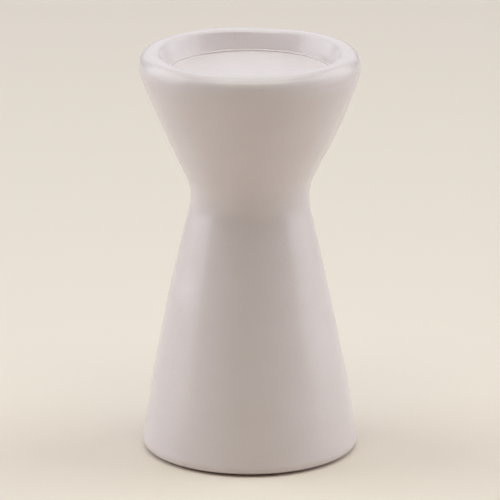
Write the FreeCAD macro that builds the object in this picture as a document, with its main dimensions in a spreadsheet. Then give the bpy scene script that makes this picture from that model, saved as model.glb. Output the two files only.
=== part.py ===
import FreeCAD, Part
import math
import os

import Sketcher

# Turned wooden candlestick for one pillar candle, in millimetres.
# +Z is up. The origin is on the candlestick's axis, on the surface it stands on.
# Each sub-part is a body in its own frame, put in its place along the axis by its Placement.

# ---------------------------------------------------------------- driving sizes

SIZES = {
    # The candle and the pan that it stands on.
    "candle_diameter": 70.0,
    "candle_clearance": 1.0,        # radial, between the candle and the pan's lip
    "pan_wall": 0.9,                # the lip's thickness
    "pan_floor": 0.9,               # the pan's sheet under the candle
    "pan_lip_height": 1.0,          # above the pan's floor
    "pan_lip_rounding": 0.4,
    "pan_fit": 0.1,                 # radial, between the pan and its seat
    # The head: everything above the joint at the waist.
    "head_height": 66.4,            # joint face to the crest of the rim
    "seat_land": 0.2,               # ledge between the pan's seat and the dish's wall
    "dish_depth": 8.4,              # crest of the rim to the top of the pan's lip
    "dish_flare": 2.7,              # how much wider the dish's mouth is than its floor
    "mouth_edge_radius": 0.9,
    "crest_inner_radius": 17.4,     # the gentle fall from the crest into the mouth
    "rim_width": 9.1,               # the mouth's edge to the widest point of the rim
    "rim_top_radius": 4.8,
    "rim_side_radius": 14.5,
    "rim_drop": 6.6,                # crest of the rim to its widest point
    "upper_side_radius": 443.0,     # the flare's slight outward bow
    # The waist, shared by the head and the base.
    "waist_radius": 26.4,
    "waist_hollow_radius": 24.85,
    "waist_height": 115.9,          # floor to the joint face
    # The base cone.
    "lower_side_radius": 1265.0,
    "foot_radius": 48.2,
    "foot_edge_radius": 3.5,
    "foot_clearance": 0.8,          # the felt holds the wood this far off the floor
    # The felt under the foot.
    "felt_thickness": 1.5,
    "felt_margin": 2.7,             # flat wood left outside the felt's recess
    "felt_fit": 0.25,               # radial, between the felt and its recess
    # The dowel across the waist.
    "dowel_diameter": 12.0,
    "dowel_length": 50.0,
    "dowel_embed": 25.0,            # the length that stands in the base
    "dowel_fit": 0.05,              # radial, between the dowel and its holes
    "dowel_chamfer": 1.0,
    "dowel_glue_gap": 1.0,          # room for glue past the dowel's upper end
    "flute_radius": 0.6,
}
FLUTE_COUNT = 12

# Sizes that follow from the driving ones, as formulas on the sheet.
DERIVED = {
    "pan_inner_radius": "candle_diameter / 2 + candle_clearance",
    "pan_radius": "pan_inner_radius + pan_wall",
    "pan_height": "pan_floor + pan_lip_height",
    "pan_lip_fillet": "min(pan_lip_rounding; 0.45 * pan_wall)",
    "seat_radius": "pan_radius + pan_fit",
    "dish_floor_radius": "seat_radius + seat_land",
    "dish_floor_level": "head_height - dish_depth",
    "seat_level": "dish_floor_level - pan_height",
    "mouth_radius": "dish_floor_radius + dish_flare",
    "rim_radius": "mouth_radius + rim_width",
    "base_height": "waist_height - foot_clearance",
    "foot_flat_radius": "foot_radius - foot_edge_radius",
    "felt_radius": "foot_flat_radius - felt_margin - felt_fit",
    "felt_recess_radius": "felt_radius + felt_fit",
    "felt_recess_depth": "felt_thickness - foot_clearance",
    "dowel_hole_diameter": "dowel_diameter + 2 * dowel_fit",
    "cup_hole_depth": "dowel_length - dowel_embed + dowel_glue_gap",
}

START = 1       # a sketch edge's start point
END = 2         # a sketch edge's end point
CENTRE = 3      # an arc's or circle's centre
ORIGIN = -1     # the sketch's origin point, also its horizontal axis
V_AXIS = -2     # the sketch's vertical axis

doc = FreeCAD.newDocument("candlestick")


def make_sheet():
    """Write the driving sizes as numbers and the derived ones as formulas."""
    sheet = doc.addObject("Spreadsheet::Sheet", "Sizes")
    row = 1
    for alias, value in SIZES.items():
        sheet.set("A%d" % row, alias)
        sheet.set("B%d" % row, str(value))
        sheet.setAlias("B%d" % row, alias)
        row += 1
    for alias, formula in DERIVED.items():
        sheet.set("A%d" % row, alias)
        sheet.set("B%d" % row, "=" + formula)
        sheet.setAlias("B%d" % row, alias)
        row += 1
    doc.recompute()
    return sheet


sizes = make_sheet()


def size(alias):
    """The current value of one size on the sheet."""
    return float(getattr(sizes, alias))


# ---------------------------------------------------------------- drawing helpers

def bind(thing, path, formula):
    """Tie a property to a formula of sizes; names in braces become cells of the sheet."""
    thing.setExpression(path, formula.replace("{", "Sizes.").replace("}", ""))


def new_body(label, level):
    """A body with its own frame on the axis, at a height given as a formula of sizes."""
    body = doc.addObject("PartDesign::Body", label)
    body.Label = label
    bind(body, "Placement.Base.z", level)
    return body


def new_sketch(body, name, plane, level="0"):
    """A sketch on one of the body's origin planes, lifted along the plane's normal."""
    sketch = body.newObject("Sketcher::SketchObject", name)
    planes = [feature for feature in body.Origin.OriginFeatures if feature.Role == plane]
    sketch.AttachmentSupport = [(planes[0], "")]
    sketch.MapMode = "FlatFace"
    bind(sketch, "AttachmentOffset.Base.z", level)
    return sketch


def point(x, y):
    return FreeCAD.Vector(x, y, 0)


def line(sketch, start, end):
    return sketch.addGeometry(Part.LineSegment(point(*start), point(*end)))


def arc(sketch, centre, radius, first, last):
    """An arc drawn anticlockwise from one angle to another, in radians."""
    circle = Part.Circle(point(*centre), FreeCAD.Vector(0, 0, 1), radius)
    return sketch.addGeometry(Part.ArcOfCircle(circle, first, last))


def fix(sketch, kind, *refs):
    """A constraint with no size of its own."""
    sketch.addConstraint(Sketcher.Constraint(kind, *refs))


def dimension(sketch, name, kind, refs, formula, value):
    """A named constraint that takes its size from a formula; the value is the drawn one."""
    index = sketch.addConstraint(Sketcher.Constraint(kind, *refs, value))
    sketch.renameConstraint(index, name)
    bind(sketch, "Constraints." + name, formula)


def disc_sketch(body, name, radius, level="0"):
    """A circle about the body's axis, its radius given as a formula of sizes."""
    sketch = new_sketch(body, name, "XY_Plane", level)
    circle = Part.Circle(point(0, 0), FreeCAD.Vector(0, 0, 1), size("waist_radius"))
    edge = sketch.addGeometry(circle)
    fix(sketch, "Coincident", edge, CENTRE, ORIGIN, START)
    dimension(sketch, "radius", "Radius", (edge,), radius, size("waist_radius"))
    return sketch


def bow_centre(near, near_distance, far, far_distance):
    """The point on the axis's side at given distances from two arc centres.

    It is the centre of a bowed side that runs tangent from one arc into the other.
    """
    span_x = far[0] - near[0]
    span_y = far[1] - near[1]
    span = math.hypot(span_x, span_y)
    along = (near_distance ** 2 - far_distance ** 2 + span ** 2) / (2 * span)
    across = math.sqrt(near_distance ** 2 - along ** 2)
    x = near[0] + (along * span_x - across * span_y) / span
    y = near[1] + (along * span_y + across * span_x) / span
    return (x, y)


def direction(start, end):
    """The angle of the line from one point to another, from 0 to a full turn."""
    return math.atan2(end[1] - start[1], end[0] - start[0]) % (2 * math.pi)


def revolve(body, sketch, name):
    """Turn a closed section a full turn about the body's axis."""
    turned = body.newObject("PartDesign::Revolution", name)
    turned.Profile = sketch
    turned.ReferenceAxis = (sketch, ["V_Axis"])
    turned.Angle = 360
    doc.recompute()
    return turned


def pad(body, sketch, name, length):
    """Raise a sketch along +Z by a formula of sizes."""
    raised = body.newObject("PartDesign::Pad", name)
    raised.Profile = sketch
    bind(raised, "Length", length)
    doc.recompute()
    return raised


def pocket(body, sketch, name, depth, upwards=False):
    """Cut a sketch into the body, down by a formula of sizes, or up."""
    before = body.Shape.Volume
    cut = body.newObject("PartDesign::Pocket", name)
    cut.Profile = sketch
    cut.Reversed = upwards
    bind(cut, "Length", depth)
    doc.recompute()
    require_less(name, before, body.Shape.Volume)
    return cut


def drill(body, sketch, name, diameter, depth, upwards=False):
    """Drill a flat-bottomed blind hole at a sketch's circle, down or up."""
    before = body.Shape.Volume
    hole = body.newObject("PartDesign::Hole", name)
    hole.Profile = sketch
    doc.recompute()
    hole.Threaded = False
    hole.DepthType = "Dimension"
    hole.DrillPoint = "Flat"
    hole.Reversed = upwards
    bind(hole, "Diameter", diameter)
    bind(hole, "Depth", depth)
    doc.recompute()
    require_less(name, before, body.Shape.Volume)
    return hole


def require_less(name, before, after):
    """A cut that points away from the solid removes nothing, and shows no error."""
    if not after < before:
        raise RuntimeError(name + " removed nothing")


def round_edges(feature, radius, height):
    """Names of a feature's full-circle edges of one radius at one height."""
    names = []
    for number, edge in enumerate(feature.Shape.Edges, start=1):
        curve = edge.Curve
        if not isinstance(curve, Part.Circle):
            continue
        same_radius = abs(curve.Radius - radius) < 1e-4
        same_height = abs(curve.Center.z - height) < 1e-4
        if same_radius and same_height:
            names.append("Edge%d" % number)
    if not names:
        raise RuntimeError("%s has no edge of radius %.2f" % (feature.Name, radius))
    return names


# ---------------------------------------------------------------- base cone

def make_lower_body():
    """The turned base: a slightly bowed cone from a rounded foot up to the waist's joint face."""
    body = new_body("lower_body", "{foot_clearance}")
    draw_base_section(body)
    recess = disc_sketch(body, "felt_recess_circle", "{felt_recess_radius}")
    pocket(body, recess, "felt_recess", "{felt_recess_depth}", upwards=True)
    mouth = disc_sketch(body, "base_hole_circle", "{dowel_hole_diameter} / 2", "{base_height}")
    drill(body, mouth, "base_dowel_hole", "{dowel_hole_diameter}", "{dowel_embed}")
    return body


def draw_base_section(body):
    """Half of the base's section, from the axis out along the foot and up to the joint face."""
    sketch = new_sketch(body, "base_section", "XZ_Plane")
    joint = size("base_height")
    foot_edge = size("foot_edge_radius")
    hollow = size("waist_hollow_radius")
    bow = size("lower_side_radius")
    waist = size("waist_radius")
    foot_centre = (size("foot_flat_radius"), foot_edge)
    hollow_centre = (waist + hollow, joint)
    side_centre = bow_centre(foot_centre, bow - foot_edge, hollow_centre, bow + hollow)
    foot_turn = direction(side_centre, foot_centre)
    waist_turn = direction(side_centre, hollow_centre)

    underside = line(sketch, (0, 0), (foot_centre[0], 0))
    foot = arc(sketch, foot_centre, foot_edge, -math.pi / 2, foot_turn)
    side = arc(sketch, side_centre, bow, foot_turn, waist_turn)
    neck = arc(sketch, hollow_centre, hollow, math.pi, math.pi + waist_turn)
    top = line(sketch, (waist, joint), (0, joint))
    axis = line(sketch, (0, joint), (0, 0))

    fix(sketch, "Coincident", underside, START, ORIGIN, START)
    fix(sketch, "Horizontal", underside)
    fix(sketch, "Tangent", underside, END, foot, START)
    fix(sketch, "Tangent", foot, END, side, START)
    fix(sketch, "Tangent", side, END, neck, END)
    fix(sketch, "Coincident", neck, START, top, START)
    fix(sketch, "Horizontal", top)
    fix(sketch, "PointOnObject", neck, CENTRE, top)
    fix(sketch, "Coincident", top, END, axis, START)
    fix(sketch, "PointOnObject", top, END, V_AXIS)
    fix(sketch, "Coincident", axis, END, underside, START)
    dimension(sketch, "foot_edge", "Radius", (foot,), "{foot_edge_radius}", foot_edge)
    dimension(sketch, "foot_flat", "DistanceX", (ORIGIN, START, foot, CENTRE),
              "{foot_flat_radius}", foot_centre[0])
    dimension(sketch, "side_bow", "Radius", (side,), "{lower_side_radius}", bow)
    dimension(sketch, "waist_hollow", "Radius", (neck,), "{waist_hollow_radius}", hollow)
    dimension(sketch, "waist", "DistanceX", (ORIGIN, START, neck, START), "{waist_radius}", waist)
    dimension(sketch, "joint", "DistanceY", (ORIGIN, START, neck, START), "{base_height}", joint)
    return revolve(body, sketch, "turned_base")


# ---------------------------------------------------------------- head

def make_cup():
    """The turned head: a bowed flare from the waist to a rolled rim, with the dish inside."""
    body = new_body("cup", "{waist_height}")
    draw_cup_section(body)
    seat = disc_sketch(body, "pan_seat_circle", "{seat_radius}", "{dish_floor_level}")
    pocket(body, seat, "pan_seat", "{pan_height}")
    mouth = disc_sketch(body, "cup_hole_circle", "{dowel_hole_diameter} / 2")
    drill(body, mouth, "cup_dowel_hole", "{dowel_hole_diameter}", "{cup_hole_depth}", upwards=True)
    return body


def draw_cup_section(body):
    """Half of the head's section, from the joint face out, over the rim and into the dish."""
    sketch = new_sketch(body, "cup_section", "XZ_Plane")
    crest = size("head_height")
    waist = size("waist_radius")
    hollow = size("waist_hollow_radius")
    bow = size("upper_side_radius")
    side_radius = size("rim_side_radius")
    top_radius = size("rim_top_radius")
    fall_radius = size("crest_inner_radius")
    edge_radius = size("mouth_edge_radius")
    floor_radius = size("dish_floor_radius")
    floor_level = size("dish_floor_level")

    hollow_centre = (waist + hollow, 0)
    side_centre = (size("rim_radius") - side_radius, crest - size("rim_drop"))
    flare_centre = bow_centre(hollow_centre, bow + hollow, side_centre, bow - side_radius)
    waist_turn = direction(flare_centre, hollow_centre)
    rim_turn = direction(flare_centre, side_centre)

    # The rim's top arc sits inside its side arc, tangent to it, and peaks at the crest.
    top_rise = crest - top_radius - side_centre[1]
    top_x = side_centre[0] + math.sqrt((side_radius - top_radius) ** 2 - top_rise ** 2)
    top_centre = (top_x, crest - top_radius)
    shoulder = direction(side_centre, top_centre)

    # Inside the crest a flat arc falls to the mouth's small edge, then the wall leans inwards.
    fall_centre = (top_x, crest - fall_radius)
    edge_x = size("mouth_radius") + edge_radius
    edge_y = fall_centre[1] + math.sqrt((fall_radius - edge_radius) ** 2 - (top_x - edge_x) ** 2)
    edge_centre = (edge_x, edge_y)
    fall_turn = direction(fall_centre, edge_centre)
    foot_reach = math.hypot(edge_x - floor_radius, edge_y - floor_level)
    wall_turn = direction((floor_radius, floor_level), edge_centre) + math.asin(edge_radius / foot_reach)
    wall_normal = wall_turn + math.pi / 2
    wall_top = (edge_x + edge_radius * math.cos(wall_normal), edge_y + edge_radius * math.sin(wall_normal))

    joint = line(sketch, (0, 0), (waist, 0))
    neck = arc(sketch, hollow_centre, hollow, waist_turn - math.pi, math.pi)
    flare = arc(sketch, flare_centre, bow, waist_turn, rim_turn)
    rim_side = arc(sketch, side_centre, side_radius, rim_turn - 2 * math.pi, shoulder)
    rim_top = arc(sketch, top_centre, top_radius, shoulder, math.pi / 2)
    fall = arc(sketch, fall_centre, fall_radius, math.pi / 2, fall_turn)
    edge = arc(sketch, edge_centre, edge_radius, fall_turn, wall_normal)
    wall = line(sketch, wall_top, (floor_radius, floor_level))
    floor = line(sketch, (floor_radius, floor_level), (0, floor_level))
    axis = line(sketch, (0, floor_level), (0, 0))

    fix(sketch, "Coincident", joint, START, ORIGIN, START)
    fix(sketch, "Horizontal", joint)
    fix(sketch, "Coincident", joint, END, neck, END)
    fix(sketch, "PointOnObject", neck, CENTRE, joint)
    fix(sketch, "Tangent", neck, START, flare, START)
    fix(sketch, "Tangent", flare, END, rim_side, START)
    fix(sketch, "Tangent", rim_side, END, rim_top, START)
    fix(sketch, "Tangent", rim_top, END, fall, START)
    fix(sketch, "Vertical", rim_top, CENTRE, rim_top, END)
    fix(sketch, "Tangent", fall, END, edge, START)
    fix(sketch, "Tangent", edge, END, wall, START)
    fix(sketch, "Coincident", wall, END, floor, START)
    fix(sketch, "Horizontal", floor)
    fix(sketch, "Coincident", floor, END, axis, START)
    fix(sketch, "PointOnObject", floor, END, V_AXIS)
    fix(sketch, "Coincident", axis, END, joint, START)
    dimension(sketch, "waist", "DistanceX", (ORIGIN, START, joint, END), "{waist_radius}", waist)
    dimension(sketch, "waist_hollow", "Radius", (neck,), "{waist_hollow_radius}", hollow)
    dimension(sketch, "flare_bow", "Radius", (flare,), "{upper_side_radius}", bow)
    dimension(sketch, "rim_side", "Radius", (rim_side,), "{rim_side_radius}", side_radius)
    dimension(sketch, "rim_reach", "DistanceX", (ORIGIN, START, rim_side, CENTRE),
              "{rim_radius} - {rim_side_radius}", side_centre[0])
    dimension(sketch, "rim_level", "DistanceY", (ORIGIN, START, rim_side, CENTRE),
              "{head_height} - {rim_drop}", side_centre[1])
    dimension(sketch, "rim_top", "Radius", (rim_top,), "{rim_top_radius}", top_radius)
    dimension(sketch, "crest", "DistanceY", (ORIGIN, START, rim_top, END), "{head_height}", crest)
    dimension(sketch, "crest_fall", "Radius", (fall,), "{crest_inner_radius}", fall_radius)
    dimension(sketch, "mouth_edge", "Radius", (edge,), "{mouth_edge_radius}", edge_radius)
    dimension(sketch, "mouth", "DistanceX", (ORIGIN, START, edge, CENTRE),
              "{mouth_radius} + {mouth_edge_radius}", edge_x)
    dimension(sketch, "dish_floor", "DistanceX", (ORIGIN, START, wall, END),
              "{dish_floor_radius}", floor_radius)
    dimension(sketch, "dish_level", "DistanceY", (ORIGIN, START, wall, END),
              "{dish_floor_level}", floor_level)
    return revolve(body, sketch, "turned_cup")


# ---------------------------------------------------------------- pan, felt and dowel

def make_candle_pan():
    """The thin pan that the candle stands on: a disc with a low rounded lip."""
    body = new_body("candle_pan", "{waist_height} + {seat_level}")
    outside = disc_sketch(body, "pan_circle", "{pan_radius}")
    pad(body, outside, "pan_blank", "{pan_height}")
    inside = disc_sketch(body, "pan_inside_circle", "{pan_inner_radius}", "{pan_height}")
    pressed = pocket(body, inside, "pan_inside", "{pan_lip_height}")
    lip_edges = round_edges(pressed, size("pan_radius"), size("pan_height"))
    lip_edges += round_edges(pressed, size("pan_inner_radius"), size("pan_height"))
    lip = body.newObject("PartDesign::Fillet", "pan_lip")
    lip.Base = (pressed, lip_edges)
    bind(lip, "Radius", "{pan_lip_fillet}")
    doc.recompute()
    return body


def make_felt_pad():
    """The felt disc glued in the recess under the foot."""
    body = new_body("felt_pad", "0")
    disc = disc_sketch(body, "felt_circle", "{felt_radius}")
    pad(body, disc, "felt_disc", "{felt_thickness}")
    return body


def make_waist_dowel():
    """The dowel across the waist: chamfered at both ends, with straight glue flutes."""
    body = new_body("waist_dowel", "{waist_height} - {dowel_embed}")
    circle = disc_sketch(body, "dowel_circle", "{dowel_diameter} / 2")
    rod = pad(body, circle, "dowel_rod", "{dowel_length}")
    radius = size("dowel_diameter") / 2
    ends = round_edges(rod, radius, 0) + round_edges(rod, radius, size("dowel_length"))
    chamfer = body.newObject("PartDesign::Chamfer", "dowel_ends")
    chamfer.Base = (rod, ends)
    bind(chamfer, "Size", "{dowel_chamfer}")
    doc.recompute()

    groove = new_sketch(body, "flute_circle", "XY_Plane", "{dowel_length}")
    flute_circle = Part.Circle(point(radius, 0), FreeCAD.Vector(0, 0, 1), size("flute_radius"))
    flute = groove.addGeometry(flute_circle)
    fix(groove, "PointOnObject", flute, CENTRE, ORIGIN)
    dimension(groove, "flute", "Radius", (flute,), "{flute_radius}", size("flute_radius"))
    dimension(groove, "reach", "DistanceX", (ORIGIN, START, flute, CENTRE), "{dowel_diameter} / 2", radius)
    first = pocket(body, groove, "first_flute", "{dowel_length}")

    before = body.Shape.Volume
    flutes = body.newObject("PartDesign::PolarPattern", "flutes")
    flutes.Originals = [first]
    flutes.Axis = (groove, ["N_Axis"])
    flutes.Angle = 360
    flutes.Occurrences = FLUTE_COUNT
    body.Tip = flutes
    doc.recompute()
    require_less("flutes", before, body.Shape.Volume)
    return body


# ---------------------------------------------------------------- build and write

def check_document():
    """Stop if any object of the document failed to compute."""
    for thing in doc.Objects:
        if "Invalid" in thing.State or "Error" in thing.State:
            raise RuntimeError("%s failed: %s" % (thing.Name, thing.State))
        if thing.TypeId == "Sketcher::SketchObject" and thing.solve() != 0:
            raise RuntimeError("%s can't be solved" % thing.Name)


def write_part(body):
    """Check one sub-part's solid and write it under its label."""
    shape = body.Shape
    if shape.isNull() or not shape.isValid() or len(shape.Solids) != 1:
        raise RuntimeError(body.Label + " isn't one valid solid")
    shape.exportStep("parts/%s.step" % body.Label)
    box = shape.BoundBox
    print("%-12s %9.1f mm3, z %.2f to %.2f, radius %.2f"
          % (body.Label, shape.Volume, box.ZMin, box.ZMax, box.XMax))


bodies = [
    make_lower_body(),
    make_cup(),
    make_waist_dowel(),
    make_candle_pan(),
    make_felt_pad(),
]
doc.recompute()
check_document()
os.makedirs("parts", exist_ok=True)
for body in bodies:
    write_part(body)
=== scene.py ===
"""A turned, painted wooden candlestick for one pillar candle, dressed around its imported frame.

Every painted piece is a surface of revolution: a section of straight runs and arcs, carried round
the candlestick's axis on a grid of angle against distance along the section. Lengths are in metres.
"""

import logging
import math
from dataclasses import dataclass, field
from enum import Enum

import bpy
import numpy as np
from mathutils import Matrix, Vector


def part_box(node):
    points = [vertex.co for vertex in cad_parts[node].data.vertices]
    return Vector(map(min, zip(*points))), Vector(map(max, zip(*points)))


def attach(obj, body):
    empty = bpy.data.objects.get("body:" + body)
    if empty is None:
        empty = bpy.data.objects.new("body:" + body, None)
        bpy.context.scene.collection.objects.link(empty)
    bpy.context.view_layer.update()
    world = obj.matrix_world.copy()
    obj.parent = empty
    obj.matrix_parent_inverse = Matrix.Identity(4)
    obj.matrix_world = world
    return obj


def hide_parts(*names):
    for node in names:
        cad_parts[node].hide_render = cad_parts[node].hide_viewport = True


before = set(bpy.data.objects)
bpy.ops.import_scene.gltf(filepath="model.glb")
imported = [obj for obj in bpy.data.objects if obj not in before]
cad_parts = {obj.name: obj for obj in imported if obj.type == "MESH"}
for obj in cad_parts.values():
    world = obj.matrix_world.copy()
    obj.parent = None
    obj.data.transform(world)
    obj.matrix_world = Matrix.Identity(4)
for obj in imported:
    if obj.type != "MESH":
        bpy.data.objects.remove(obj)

log = logging.getLogger("candlestick")

BODY = "root"
MM = 0.001
TURN = 2.0 * math.pi
RIGHT_ANGLE = 0.5 * math.pi
LATHE = "lathe"
CREASE_ANGLE = math.radians(32.0)
LEAST_ARC_GAPS = 3
SMALLEST_GAP = 1e-9
WHOLE = (0.0, 1.0)
NOISE_SPAN = (0.3, 0.7)

Point = tuple[float, float]
Span = tuple[float, float]
Colour = tuple[float, float, float]
Grain = tuple[float, float, float]
Shape = tuple[np.ndarray, np.ndarray]
Socket = bpy.types.NodeSocket


class Slot(Enum):
    """The record's material slots."""

    PAINTED_WOOD = "painted_wood"
    BARE_WOOD = "bare_wood"
    PAINTED_STEEL = "painted_steel"
    FELT = "felt"


class Cover(Enum):
    """What covers one stretch of a turned section: the piece's finish, or wood left bare."""

    FINISH = 0
    BARE = 1


# ---------------------------------------------------------------- sections and grids


@dataclass
class Section:
    """Half of a turned piece's section, grown stretch by stretch from the axis.

    Args:
        radii: Distances from the axis, one array for each stretch.
        heights: Heights above the floor, one array for each stretch.
        covers: What covers each stretch.
    """

    radii: list[np.ndarray] = field(default_factory=list)
    heights: list[np.ndarray] = field(default_factory=list)
    covers: list[np.ndarray] = field(default_factory=list)

    def start(self, radius: float, height: float) -> "Section":
        """Put down the first point, and give back this section."""
        self._add(np.array([radius]), np.array([height]), Cover.FINISH)
        return self

    def line(self, radius: float, height: float, step: float, cover: Cover = Cover.FINISH) -> None:
        """Run straight to a point.

        Args:
            radius: The point's distance from the axis.
            height: The point's height.
            step: The longest gap between grid points on the run.
            cover: What covers the run.
        """
        from_radius, from_height = self.radii[-1][-1], self.heights[-1][-1]
        length = math.hypot(radius - from_radius, height - from_height)
        count = max(1, math.ceil(length / step))
        along = np.linspace(0.0, 1.0, count + 1)[1:]
        run_radii = from_radius + along * (radius - from_radius)
        run_heights = from_height + along * (height - from_height)
        self._add(run_radii, run_heights, cover)

    def arc(self, arc: "Arc", step: float) -> None:
        """Follow an arc from the end of the last stretch.

        Args:
            arc: The arc, whose first end is where the section has got to.
            step: The longest gap between grid points on the arc.
        """
        length = abs(arc.last - arc.first) * arc.radius
        count = max(LEAST_ARC_GAPS, math.ceil(length / step))
        angle = np.linspace(arc.first, arc.last, count + 1)[1:]
        radii = arc.centre[0] + arc.radius * np.cos(angle)
        heights = arc.centre[1] + arc.radius * np.sin(angle)
        self._add(radii, heights, Cover.FINISH)

    def _add(self, radii: np.ndarray, heights: np.ndarray, cover: Cover) -> None:
        """Append one stretch.

        Args:
            radii: Its points' distances from the axis.
            heights: Their heights.
            cover: What covers it.
        """
        self.radii.append(radii)
        self.heights.append(heights)
        self.covers.append(np.full(radii.size, cover.value))

    def points(self) -> tuple[np.ndarray, np.ndarray, np.ndarray]:
        """Radii, heights and covers of the whole section as three flat arrays."""
        return np.concatenate(self.radii), np.concatenate(self.heights), np.concatenate(self.covers)


@dataclass(frozen=True)
class Arc:
    """A stretch of a circle in the section's plane.

    Args:
        centre: Distance from the axis and height of its centre.
        radius: Its radius.
        first: Angle of its first end, from the outward direction towards up.
        last: Angle of its last end.
    """

    centre: Point
    radius: float
    first: float
    last: float


def direction(start: Point, end: Point) -> float:
    """The angle of the line from one point to another, from 0 to a full turn."""
    return math.atan2(end[1] - start[1], end[0] - start[0]) % TURN


def bow_centre(near: Point, near_distance: float, far: Point, far_distance: float) -> Point:
    """Find the centre of a bowed side that runs tangent from one arc into another.

    It is where two circles about the arcs' centres meet, on the axis's side: go along the line of
    centres by (near squared - far squared + span squared) / 2 span, then across it by what is left.

    Args:
        near: The first arc's centre.
        near_distance: Distance from the first centre to the bow's centre.
        far: The second arc's centre.
        far_distance: Distance from the second centre to the bow's centre.

    Returns:
        The bow's centre.
    """
    span_r = far[0] - near[0]
    span_z = far[1] - near[1]
    span = math.hypot(span_r, span_z)
    along = (near_distance**2 - far_distance**2 + span**2) / (2.0 * span)
    across = math.sqrt(near_distance**2 - along**2)
    radius = near[0] + (along * span_r - across * span_z) / span
    height = near[1] + (along * span_z + across * span_r) / span
    return (radius, height)


@dataclass(frozen=True)
class Swell:
    """A soft rise or hollow that hand sanding left along a turned edge.

    Args:
        angle: Where it is, in degrees anticlockwise from +X.
        spread: Its half-width round the edge, in degrees.
        rise: How far it stands up, or down where negative.
    """

    angle: float
    spread: float
    rise: float

    def at(self, angle: np.ndarray) -> np.ndarray:
        """Its height at some angles: a bell curve of the angle's distance from its middle."""
        away = (angle - math.radians(self.angle) + math.pi) % TURN - math.pi
        return self.rise * np.exp(-0.5 * (away / math.radians(self.spread)) ** 2)


@dataclass(frozen=True)
class SandedBand:
    """A band that sandpaper flattened along a turned edge, deeper in some places than others.

    Across the band the surface sinks by a cosine bell. Round the edge the depth falls from the
    whole to a least share as the square of (1 + cosine of the angle away) / 2, and two sine waves
    of the angle make it uneven.

    Args:
        reach: Distance of the band's middle from the edge's crest, along the section.
        half_width: Half of its width along the section.
        depth: How far it sinks at its deepest.
        angle: Where it is deepest, in degrees anticlockwise from +X.
        least: The smallest share of the depth, right across from there.
        waves: The two waves' share of the depth, number round the edge, and phase.
    """

    reach: float
    half_width: float
    depth: float
    angle: float
    least: float
    waves: tuple[tuple[float, float, float], ...] = ((0.10, 5.0, 0.6), (0.05, 13.0, 2.0))

    def sink(self, angle: np.ndarray, along: np.ndarray) -> np.ndarray:
        """How far the surface sinks.

        Args:
            angle: Angles round the piece.
            along: Distance from the edge's crest along the section, positive outwards.

        Returns:
            Depths on the grid of both.
        """
        across = np.clip(np.abs(along - self.reach) / self.half_width, 0.0, 1.0)
        bell = 0.5 + 0.5 * np.cos(math.pi * across)
        facing = (0.5 + 0.5 * np.cos(angle - math.radians(self.angle))) ** 2
        ragged = 1.0 - sum(share for share, _, _ in self.waves)
        for share, around, phase in self.waves:
            ragged = ragged + share * np.sin(around * angle + phase)
        return self.depth * bell * (self.least + (1.0 - self.least) * facing) * ragged


@dataclass(frozen=True)
class HandWork:
    """The small unevenness that sanding and thick paint leave on a turned surface.

    The surface rises and sinks by a sum of sine waves, each of a few waves round the piece and some
    length up it. The waves' numbers and phases come from a seeded generator, so the two turned
    pieces carry one pattern that runs unbroken across their joint.

    Args:
        depth: The most that the surface sinks or rises.
        shortest: The shortest wave up the piece.
        longest: The longest wave up the piece.
        most_round: The most waves round the piece.
        waves: How many sine waves are summed.
        seed: Seed of the generator.
    """

    depth: float
    shortest: float
    longest: float
    most_round: int
    waves: int
    seed: int

    def sink(self, angle: np.ndarray, height: np.ndarray) -> np.ndarray:
        """How far the surface sinks, or rises where it is negative.

        Args:
            angle: Angles round the piece.
            height: Heights on the piece, so that both turned pieces agree at their joint.

        Returns:
            Depths on the grid of both.
        """
        draw = np.random.default_rng(self.seed)
        total = np.zeros(np.broadcast(angle, height).shape)
        for _ in range(self.waves):
            around = draw.integers(1, self.most_round + 1)
            length = draw.uniform(self.shortest, self.longest)
            phase = draw.uniform(0.0, TURN)
            lean = draw.choice((-1.0, 1.0))
            total += np.sin(around * angle + lean * TURN * height / length + phase)
        return self.depth * np.clip(total / math.sqrt(self.waves), -1.0, 1.0)


@dataclass(frozen=True)
class Lean:
    """A stretch of the side that the turning left a little off the axis.

    Args:
        height: The height where it is furthest off.
        spread: Its half-width up the side.
        shift: How far it stands over towards +X, or towards -X where negative.
    """

    height: float
    spread: float
    shift: float

    def rise(self, angle: np.ndarray, height: np.ndarray) -> np.ndarray:
        """How far the radius grows: a bell curve of height, times the angle's cosine."""
        bell = np.exp(-0.5 * ((height - self.height) / self.spread) ** 2)
        return self.shift * bell * np.cos(angle)


def smooth_step(value: np.ndarray, start: float, end: float) -> np.ndarray:
    """Rise from 0 at the start to 1 at the end as 3t^2 - 2t^3, t being the share of the way."""
    share = np.clip((value - start) / (end - start), 0.0, 1.0)
    return share * share * (3.0 - 2.0 * share)


@dataclass
class TurnedGrid:
    """A turned surface on a grid, with a row for each section point and a column for each angle.

    Args:
        angle: The columns' angles, in one row.
        radius: Distances from the axis.
        height: Heights.
        along: Distance along the section, in one column.
    """

    angle: np.ndarray
    radius: np.ndarray
    height: np.ndarray
    along: np.ndarray


def sanding_direction(grid: TurnedGrid, joint: float) -> Shape:
    """Which way is out of the wood, at each point of a turned grid.

    It is the section's unit normal: the direction from the point before to the point after, turned
    a quarter turn clockwise, so it points out of the wood when the section runs out and up. At the
    joint it is level instead, so that the two pieces' edges there move alike and stay together.

    Args:
        grid: The surface as it was turned.
        joint: Height of the joint between the two turned pieces.

    Returns:
        The direction's outward and upward shares, on the same grid.
    """
    across = np.gradient(grid.radius, axis=0)
    up = np.gradient(grid.height, axis=0)
    length = np.maximum(np.hypot(across, up), SMALLEST_GAP)
    at_joint = np.isclose(grid.height, joint)
    return np.where(at_joint, 1.0, up / length), np.where(at_joint, 0.0, -across / length)


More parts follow.
